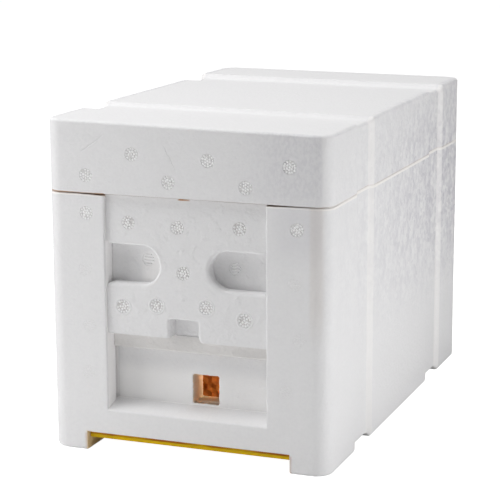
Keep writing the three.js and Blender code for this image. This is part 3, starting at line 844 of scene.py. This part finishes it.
LID_LUMPS, BODY_LUMPS, DOOR_LUMPS = 0.13, 0.09, 0.5
OPEN = (None, None, None)
LID_PATCHES = [
    # Painted warm shade of the gap over the left post and along the underside, and painted shade on the
    # right end of the front
    patch("stain", OPEN, (-47, -110, 147.2), 0.5, 0.9),
    patch("stain", OPEN, (None, None, 147), 0.5, 0.25),
    patch("weathered", (62, None, 156), (73, -135, None), (40, 1, 14), 0.42, 0.5),
]
LID_SCRATCHES = [(*mm(-53.3, 174.3, 20, 1.4), 34), (*mm(-7.2, 168.4, 18, 1), -63)]
BODY_PATCHES = [
    # The entrance: its inner faces, partly stain and partly painted warm reflected light, and painted shadow
    # along its right and lower edges
    patch("jamb", (-3, -121, 28), (15, -104, 48), 0.6, 0.72),
    patch("gnawed", (13.1, -122, 29.5), (14.2, -117, 46), 0.35, 0.95),
    patch("gnawed", (-1.5, -122, 29.2), (14, -118, 29.8), 0.35, 0.55),
    # The seam at the front in painted warm shade, and a painted highlight on the lip before it
    patch("stain", (-73, -134.2, 145.4), (73, -131, None), (1, 0.4, 0.4), 0.8),
    patch("lip", (None, None, 145.6), (None, -134.8, None), 0.3, 1),
    # The cavity, the channel below it and the inner side of the left foot, whose golden tint is partly stain
    # and partly painted yellow reflection from the slide
    patch("stain", (-60.4, -106.6, None), (60.4, 113.6, None), 0.4, 0.3),
    patch("stain", (-60.6, None, None), (60.6, None, 9.5), 1.5, 0.35),
    patch("foot", (-60.6, -135.5, 0.6), (-58, -110, 11.4), 0.7, 1),
    # Painted light on the porch's wall and the inner side of the left post, where they lie in shade
    patch("clean", (-46, -121.8, 28), (46, -121.2, 42), (1, 0.4, 12), 1),
    patch("clean", (-51, -134.5, 24), (-46.9, -121.2, 145), 0.4, 1),
    # Painted highlight on the lips along both sides
    patch("lip", (75, None, 145.4), (None, 126, None), 0.3, 1),
    patch("lip", (None, None, 145.4), (-75, 126, None), 0.3, 1),
    # The right post: painted shade at its top, and brownish painted shade on its outer corner
    patch("weathered", (60, None, 130), (72, -135, None), (14, 1, 20), 0.25),
    patch("rubbed", (73, None, 95), (77, -130, 142), (3, 1, 30), 0.14),
]
DOOR_PATCHES = [
    # The rear plate, and the spot of bee glue at the top of the slab
    patch("stain", (None, -123.6, None), OPEN, 0.4, 0.2),
    patch("stain", (-3, None, 146), (2, None, None), (1.6, 0.4, 0.4), 1),
    # Painted shadow of the slab on the band of the plate below it
    patch("weathered", (None, -127, None), (None, None, 68.6), 0.3, 0.2),
    patch("jamb", (None, -127, None), (None, None, 68.6), 0.3, 0.16),
    # Painted light on the floor of the left finger grip
    patch("clean", (-26, -127, 101), (-18, -125.5, 112), (5, 0.4, 5), 0.9),
]


# Sizes that no setting changes. A plan is left, right, front and rear, a span is low and high


INNER_CORNER = mm(4)
INNER_FLARE = mm(-1)
FRONT_SEAM = mm(0.03)
PLUG_PLAN = mm(-67, 67, -106.5, 113.5)
PLUG_LOW = mm(139.1)
PLUG_EDGE = mm(1.5)
CAVITY_PLAN = mm(-60, 60, -107, 114)
CAVITY_SPAN = mm(5, 128.3)
REBATE_PLAN = mm(-67.5, 67.5, -107, 114)
REBATE_LOW = mm(127.8)
CHANNEL_HALF = mm(60)
CHANNEL_TOP = mm(11)
CHANNEL_FLARE = mm(-0.8)
FOOT_EDGE = mm(1.4)
SLOT_PLAN = mm(-62.7, 62.7, 53.2, 58.8)
SLOT_LOW = mm(11)
LEDGE_SIDES = mm(57, 61)
LEDGE_SPAN = mm(3.4, 6.8)
LEDGE_SETBACK = mm(24)
ENTRANCE_LOW = mm(29.8)
ENTRANCE_REAR = mm(-100)
ENTRANCE_CORNER = mm(0.9)
GNAW_STEP, GNAW_SHIFT = mm(1.1, 0.16)
WAY_LOW = mm(12)
GROOVE_DEPTH, GROOVE_WIDTH = mm(3.4, 3.3)
PORCH_EDGE = mm(1.6)
WEDGE_DROP, WEDGE_SETBACK = mm(0.8, 5)
DOOR_GAP = mm(0.15)
SLAB_THICKNESS = mm(7.5)
SLAB_OVERLAP = mm(0.8)
TAB_THICKNESS = mm(2.6)
PLATE_EDGES = mm(1.3, 0.6)
NOTCH_CORNER, NOTCH_MOUTH = mm(0.8, 0.5)
POCKET_CORNER = mm(1.5)


# Pieces


class NUC_OT_lid(Operator):
    """Build the foam lid with its strap grooves, plug and vent marks."""

    bl_idname = "nuc.lid"
    bl_label = "Foam Lid"

    def execute(self, context):
        box = context.scene.nuc_box
        front = -box.depth / 2
        rear_slope = box.rear_strap + front + box.strap_floor / 2

        def top(x, y):
            behind = min(max((y - rear_slope) / box.strap_slope, 0), 1)
            along, across = y / box.depth + 0.5, x / box.width + 0.5
            sag = across * (box.front_sag + (box.rear_sag - box.front_sag) * along)
            return box.lid_top - box.strap_depth * strap_share(box, y) + box.rear_rise * behind - sag

        def under(x, y):
            return box.lid_low if abs(y) > -front - box.corner / 2 else box.rim + FRONT_SEAM

        lid = foam_block("foam_lid", box, under, top, box.lid_low_edge, box.lid_edge, box.lid_inset)
        plug = rounded_rectangle(*PLUG_PLAN, INNER_CORNER)
        plug = prism("Plug", plug, "Z", PLUG_LOW, box.lid_low + OVERRUN, start_edge=PLUG_EDGE)
        combine(lid, plug, "UNION")
        combine(lid, mark_cutter(LID_MARKS, front))
        foam = foam_finish("Lid_Foam", LID_PATCHES + highlight_bands(box), LID_LUMPS, LID_SCRATCHES)
        dress(soften(lid), "lid", "foam", foam, "lid")
        add_marks("lid", "lid", LID_MARKS, front, (0.81, 0.80, 0.80))
        return {"FINISHED"}


def door_way(box, porch):
    """The way between the posts: rounded at its mouth, grooved for the door at its back."""
    front, back = -box.depth / 2, -box.depth / 2 + porch.depth
    edge, mouth = porch.post_edge, porch.half_width + porch.post_edge
    side, groove = porch.half_width + GROOVE_DEPTH, back - GROOVE_WIDTH
    right = [(mouth, front - OVERRUN)] + arc(mouth, front + edge, edge, 270, 180, 5)
    right += [(porch.half_width, groove), (side, groove), (side, back)]
    plan = right + [(-x, y) for x, y in right[::-1]]
    way = prism("Door_Way", plan, "Z", WAY_LOW, box.rim + OVERRUN)
    slope = (porch.back - porch.lip) / porch.depth
    before, behind, above = front - OVERRUN, back + OVERRUN, box.rim + OVERRUN + mm(1)
    profile = [(before, porch.lip - PORCH_EDGE)]
    edge_middle = front + PORCH_EDGE, porch.lip - PORCH_EDGE + slope * PORCH_EDGE
    profile += arc(*edge_middle, PORCH_EDGE, 180, 100, 5)
    profile += [(behind, porch.back + slope * OVERRUN), (behind, above), (before, above)]
    return combine(way, prism("Porch_Floor", profile, "X", -box.width / 2, box.width / 2), "INTERSECT")


def post_wedge(box, porch, side):
    """What is taken off one post's top, so that it slopes down towards the door."""
    inner, outer, past = porch.half_width, box.width / 2 - WEDGE_SETBACK, porch.half_width - OVERRUN
    low, high = box.rim - WEDGE_DROP, box.rim + OVERRUN
    outline = [(inner, low), (outer, box.rim), (outer, high), (past, high), (past, low)]
    outline = [(side * x, z) for x, z in outline]
    return prism("Post_Wedge", outline, "Y", -box.depth / 2 - OVERRUN, -box.depth / 2 + porch.depth)


class NUC_OT_body(Operator):
    """Build the foam box with its posts, porch, entrance, runners and cavity."""

    bl_idname = "nuc.body"
    bl_label = "Foam Body"

    def execute(self, context):
        box, porch = context.scene.nuc_box, context.scene.nuc_porch
        front, back = -box.depth / 2, -box.depth / 2 + porch.depth

        def base(x, y):
            return box.strap_depth * strap_share(box, y)

        def rim(x, y):
            return box.rim

        def rounding(y):
            """Full at the front and the rear, and only a little along the sides."""
            return 1 - 0.85 * slope_share((-front - abs(y) - mm(5)) / mm(9))

        body = foam_block("foam_body", box, base, rim, box.base_edge, box.rim_edge, 0, rounding)
        cavity = rounded_rectangle(*CAVITY_PLAN, INNER_CORNER)
        rebate = rounded_rectangle(*REBATE_PLAN, INNER_CORNER)
        combine(body, prism("Cavity", cavity, "Z", *CAVITY_SPAN, end_edge=INNER_FLARE))
        combine(body, prism("Rebate", rebate, "Z", REBATE_LOW, box.rim, end_edge=INNER_FLARE))
        foot = -CHANNEL_HALF - FOOT_EDGE
        left = arc(foot, FOOT_EDGE, FOOT_EDGE, 0, -90, 4) + [(foot, -OVERRUN)]
        channel = [(-x, y) for x, y in left[::-1]]
        channel += [(CHANNEL_HALF, CHANNEL_TOP), (-CHANNEL_HALF, CHANNEL_TOP)] + left
        combine(body, prism("Channel", channel, "Y", front, -front, CHANNEL_FLARE, CHANNEL_FLARE))
        slot_left, slot_right, near, far = SLOT_PLAN
        slot = block("Divider_Slot", (slot_left, near, SLOT_LOW), (slot_right, far, box.rim))
        combine(body, slot)
        combine(body, door_way(box, porch))
        jamb, top = porch.hole_offset - porch.hole_width / 2, ENTRANCE_LOW + porch.hole_height
        hole = rounded_rectangle(jamb, jamb + porch.hole_width, ENTRANCE_LOW, top, ENTRANCE_CORNER, 3)
        hole = ragged(hole, GNAW_STEP, GNAW_SHIFT)
        combine(body, prism("Entrance", hole, "Y", back, ENTRANCE_REAR, start_edge=-porch.hole_edge))
        near, (low, high) = front + LEDGE_SETBACK, LEDGE_SPAN
        for side in (-1, 1):
            combine(body, post_wedge(box, porch, side))
            inner, outer = sorted(side * x for x in LEDGE_SIDES)
            combine(body, block("Ledge", (inner, near, low), (outer, -near, high)), "UNION")
        combine(body, mark_cutter(POST_MARKS, front))
        combine(body, mark_cutter(WORN_POST_MARKS, front, WORN))
        foam = foam_finish("Body_Foam", BODY_PATCHES + highlight_bands(box), BODY_LUMPS)
        dress(soften(body), "hive", "foam", foam, "hive_body")
        add_marks("hive", "post", POST_MARKS, front, (0.84, 0.83, 0.83))
        add_marks("hive", "worn_post", WORN_POST_MARKS, front, (0.86, 0.855, 0.86), WORN)
        return {"FINISHED"}


def slab_outline(sizes, half, low, top):
    """Front outline of the door's thick slab, with a finger grip at each side and the notch below."""
    grip, corner = sizes.grip_height / 2, sizes.corner + sizes.edge
    middle = (low + top) / 2 + sizes.grip_rise
    notch_left, notch_right = [sizes.notch_offset + side * sizes.notch_width / 2 for side in (-1, 1)]
    round_left, round_right = notch_left + NOTCH_CORNER, notch_right - NOTCH_CORNER
    mouth, round_top = sizes.edge + NOTCH_MOUTH, low + sizes.notch_height - NOTCH_CORNER
    low, right_low = low - sizes.edge, low - sizes.edge - sizes.right_drop
    top, half = top + sizes.edge, half + sizes.edge

    def grip_side(reach):
        """The right side, upwards, with a finger grip whose round end lies at a reach."""
        return (
            arc(half - corner, middle - grip - corner, corner, 0, 90, 6)
            + arc(reach, middle, grip, 270, 90, 24)
            + arc(half - corner, middle + grip + corner, corner, -90, 0, 6)
        )

    reach = sizes.grip_spacing / 2 + grip
    outline = [(-half, low)]
    outline += arc(notch_left - mouth, low + mouth, mouth, -90, 0, 4)
    outline += arc(round_left, round_top, NOTCH_CORNER, 180, 90, 4)
    outline += arc(round_right, round_top, NOTCH_CORNER, 90, 0, 4)
    outline += arc(notch_right + corner, right_low + corner, corner, 180, 270, 5)
    outline += [(half, right_low)] + grip_side(reach + sizes.grip_offset)
    outline += [(half, top), (-half, top)]
    return outline + [(-x, y) for x, y in grip_side(reach - sizes.grip_offset)[::-1]]


class NUC_OT_door(Operator):
    """Build the sliding front door with its finger grips, notch and rear plate."""

    bl_idname = "nuc.door"
    bl_label = "Front Door"

    def execute(self, context):
        sizes = context.scene.nuc_door
        low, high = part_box("front_door")
        half = context.scene.nuc_porch.half_width - DOOR_GAP
        plate = low.y + SLAB_THICKNESS
        outline = slab_outline(sizes, half, sizes.low, high.z)
        door = prism("foam_door", outline, "Y", low.y, plate + SLAB_OVERLAP, start_edge=sizes.edge)
        step, right_low = sizes.notch_offset, sizes.low - sizes.right_drop
        bounds = [
            (-half, sizes.low), (step, sizes.low), (step, right_low),
            (half, right_low), (half, high.z), (-half, high.z),
        ]
        combine(door, prism("Slab_Bounds", bounds, "Y", low.y - SHORT_OVERRUN, high.y), "INTERSECT")
        fore, aft = PLATE_EDGES
        for reach, start in ((half, plate), (high.x, high.y - TAB_THICKNESS)):
            side = arc(start + fore, low.z + fore, fore, 180, 270, 5)
            side += arc(high.y - aft, low.z + aft, aft, -90, 0, 3)
            side += [(high.y, high.z), (start, high.z)]
            combine(door, prism("Plate", side, "X", -reach, reach), "UNION")
        left = sizes.notch_offset - sizes.notch_width / 2
        right, top = left + sizes.notch_width, sizes.low + sizes.notch_height
        pocket = rounded_rectangle(left, right, sizes.low, top, POCKET_CORNER)
        start = low.y - 2 * SHORT_OVERRUN
        combine(door, prism("Pocket", pocket, "Y", start, plate + sizes.pocket))
        combine(door, mark_cutter(DOOR_MARKS, low.y))
        combine(door, mark_cutter(GRIP_MARKS, plate))
        foam = foam_finish("Door_Foam", DOOR_PATCHES, DOOR_LUMPS)
        dress(soften(door), "door", "foam", foam, "front_door")
        add_marks("door", "door", DOOR_MARKS, low.y, (0.76, 0.74, 0.74))
        dress(mark_rims("door_vent_rims", DOOR_MARKS[RIMMED:], low.y), "door", "foam", foam)
        dress(mark_ridges("grip_vent_ridges", GRIP_MARKS, plate), "door", "foam", dot_finish("Grip_Ridges"))
        return {"FINISHED"}


class NUC_OT_plastics(Operator):
    """Finish the floor slide, the excluder, the feeder, its float and the clear inner cover."""

    bl_idname = "nuc.plastics"
    bl_label = "Plastic Pieces"

    def execute(self, context):
        look = context.scene.nuc_inside
        low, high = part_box("floor_slide")
        dull_yellow = {"tone": look.yellow, "roughness": 0.42, "Specular_IOR_Level": 0.15}
        # The slide's upper front edge, which gets the painted shadow
        edge = Vector((low.x, low.y, high.z))
        slide = plastic_finish("Slide_Plastic", shaded_edge=edge, **dull_yellow)
        yellow = plastic_finish("Yellow_Plastic", **dull_yellow)
        white = plastic_finish("White_Plastic", look.white, 0.3, grain=0.03)
        finish_node("floor_slide", slide, 0.35)
        finish_node("excluder_grille", yellow, 0.3)
        finish_node("feeder_tank", white, 0.5)
        finish_node("feeder_float", white, 0.4)
        finish_node("inner_cover", clear_finish(), 0)
        return {"FINISHED"}


def wax_sheet(name, low, high):
    """A thin sheet pressed with six-sided cells on both faces."""
    cell = bpy.context.scene.nuc_inside.cell
    radius = cell / math.sqrt(3)
    middle_y, half = (low.y + high.y) / 2, (high.y - low.y) / 2
    bm = bmesh.new()
    corners = {}

    def corner(u, v):
        key = (round(u / radius * 4), round(v / radius * 4))
        if key not in corners:
            corners[key] = bm.verts.new((u, middle_y - half, v))
        return corners[key]

    turns = [math.tau * i / 6 for i in range(6)]
    row, z = 0, low.z - radius
    while z < high.z + 2 * radius:
        x = low.x - cell + (cell / 2 if row % 2 else 0)
        while x < high.x + 2 * cell:
            rim = [corner(x + radius * math.sin(a), z + radius * math.cos(a)) for a in turns]
            pit = bm.verts.new((x, middle_y - half * 0.35, z))
            for i in range(6):
                bm.faces.new((rim[i - 1], rim[i], pit))
            x += cell
        row += 1
        z += 1.5 * radius
    for point, normal in (
        (low, (-1, 0, 0)), (high, (1, 0, 0)), (low, (0, 0, -1)), (high, (0, 0, 1)),
    ):
        everything = bm.verts[:] + bm.edges[:] + bm.faces[:]
        bmesh.ops.bisect_plane(bm, geom=everything, plane_co=point, plane_no=normal, clear_outer=True)
    other = bmesh.ops.duplicate(bm, geom=bm.verts[:] + bm.edges[:] + bm.faces[:])
    for item in other["geom"]:
        if isinstance(item, bmesh.types.BMVert):
            item.co.y = 2 * middle_y - item.co.y
    rims = [e for e in bm.edges if e.is_boundary]
    bmesh.ops.bridge_loops(bm, edges=rims)
    return new_piece(name, bm)


class NUC_OT_frames(Operator):
    """Finish the wooden frames and the divider, and build the wax sheets."""

    bl_idname = "nuc.frames"
    bl_label = "Frames"

    def execute(self, context):
        along = wood_finish("Wood_Along", (0.12, 1.0, 1.0))
        upright = wood_finish("Wood_Upright", (1.0, 1.0, 0.12))
        wax = wax_finish()
        finish_node("divider_board", along, 0.4)
        for i in range(1, 6):
            for bar, wood in (("top", along), ("bottom", along), ("left", upright), ("right", upright)):
                finish_node(f"frame_{i}_{bar}_bar", wood, 0.4)
            node = f"frame_{i}_wax_sheet"
            dress(wax_sheet(f"pressed_wax_{i}", *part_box(node)), f"frame_{i}", "wax", wax, node)
        return {"FINISHED"}


# Stage


AIM = Vector((0, 0, 0.1))
LAMPS = {  # The size and the place of each lamp whose power is a setting of the same name
    "overhead": (1.4, (-0.25, -0.2, 1.5)),
    "left": (0.3, (-0.75, -0.35, 0.3)),
    "near_left": (0.3, (-0.4, -0.35, 0.25)),
    "low_left": (0.2, (-0.35, -0.3, 0.1)),
    "front": (0.4, (0, -0.7, 0.08)),
    "right": (0.3, (0.6, -0.05, 0.05)),
    "near_right": (0.3, (0.45, -0.2, 0.04)),
}
CAMERA_PLACE = (0.36036, -0.97937, 0.31415)
CAMERA_TURN = (77.9964, 0.2393, 20.8615)


def soft_light(name, size, power, place):
    """A round lamp that shines at the middle of the box."""
    data = bpy.data.lights.new(name, "AREA")
    data.shape = "DISK"
    data.size = size
    data.energy = power
    light = bpy.data.objects.new(name, data)
    light.location = place
    light.rotation_euler = (AIM - Vector(place)).to_track_quat("-Z", "Y").to_euler()
    bpy.context.scene.collection.objects.link(light)


class NUC_OT_stage(Operator):
    """Set the white table, the soft lights and the camera."""

    bl_idname = "nuc.stage"
    bl_label = "White Stage"

    def execute(self, context):
        scene, look = context.scene, context.scene.nuc_stage
        bm = bmesh.new()
        bmesh.ops.create_circle(bm, cap_ends=True, radius=6, segments=64)
        table = new_piece("White_Table", bm)
        white = Finish("Table_White", 0.9, Emission_Color=(1, 1, 1, 1))
        seen = white.nodes.new("ShaderNodeLightPath").outputs["Is Camera Ray"]
        glow = white.maths("MULTIPLY_ADD", seen, look.table_white, look.table_glow)
        white.links.new(glow, white.shader.inputs["Emission Strength"])
        tint = white.mix(white.noise(6.0, 2.0), (0.93, 0.93, 0.93), (0.95, 0.95, 0.95))
        table.data.materials.append(white.done(tint))

        world = bpy.data.worlds.new("Studio")
        scene.world = world
        world.use_nodes = True
        nodes, links = world.node_tree.nodes, world.node_tree.links
        lit = nodes["Background"]
        lit.inputs["Color"].default_value = (0.97, 0.985, 1, 1)
        lit.inputs["Strength"].default_value = look.sky
        seen = nodes.new("ShaderNodeBackground")
        seen.inputs["Color"].default_value = (1, 1, 1, 1)
        seen.inputs["Strength"].default_value = 1.1
        choose = nodes.new("ShaderNodeMixShader")
        links.new(nodes.new("ShaderNodeLightPath").outputs["Is Camera Ray"], choose.inputs[0])
        links.new(lit.outputs[0], choose.inputs[1])
        links.new(seen.outputs[0], choose.inputs[2])
        links.new(choose.outputs[0], nodes["World Output"].inputs["Surface"])

        for key, (size, place) in LAMPS.items():
            soft_light(key.title(), size, getattr(look, key), place)
        warm = bpy.data.lights.new("Through_Foam", "POINT")
        warm.energy = look.inner
        warm.shadow_soft_size = mm(6)
        warm.color = (1, 0.86, 0.62)
        lamp = bpy.data.objects.new("Through_Foam", warm)
        lamp.location = mm(34, -103, 48)
        scene.collection.objects.link(lamp)

        data = bpy.data.cameras.new("Camera")
        data.lens = look.lens
        data.sensor_width = 36
        data.clip_end = 50
        camera = bpy.data.objects.new("Camera", data)
        camera.location = CAMERA_PLACE
        camera.rotation_euler = Euler([math.radians(a) for a in CAMERA_TURN])
        scene.collection.objects.link(camera)
        scene.camera = camera
        scene.view_settings.view_transform = "Standard"
        return {"FINISHED"}


OPERATORS = (NUC_OT_body, NUC_OT_lid, NUC_OT_door, NUC_OT_plastics, NUC_OT_frames, NUC_OT_stage)


class NUC_PT_panel(Panel):
    """Sidebar panel with the box's pieces and settings."""

    bl_label = "Nuc Box"
    bl_idname = "NUC_PT_panel"
    bl_space_type = "VIEW_3D"
    bl_region_type = "UI"
    bl_category = "Nuc Box"

    def draw(self, context):
        for operator in OPERATORS:
            self.layout.operator(operator.bl_idname)
        for name, group in SETTINGS.items():
            box = self.layout.box()
            box.label(text=group.__doc__)
            for key in group.__annotations__:
                box.prop(getattr(context.scene, name), key)


def register():
    for group in SETTINGS.values():
        bpy.utils.register_class(group)
    for name, group in SETTINGS.items():
        setattr(bpy.types.Scene, name, PointerProperty(type=group))
    for operator in OPERATORS:
        bpy.utils.register_class(operator)
    bpy.utils.register_class(NUC_PT_panel)


def unregister():
    bpy.utils.unregister_class(NUC_PT_panel)
    for operator in reversed(OPERATORS):
        bpy.utils.unregister_class(operator)
    for name, group in SETTINGS.items():
        delattr(bpy.types.Scene, name)
        bpy.utils.unregister_class(group)


def main():
    register()
    bpy.ops.nuc.body()
    bpy.ops.nuc.lid()
    bpy.ops.nuc.door()
    bpy.ops.nuc.plastics()
    bpy.ops.nuc.frames()
    bpy.ops.nuc.stage()


if __name__ == "__main__":
    main()
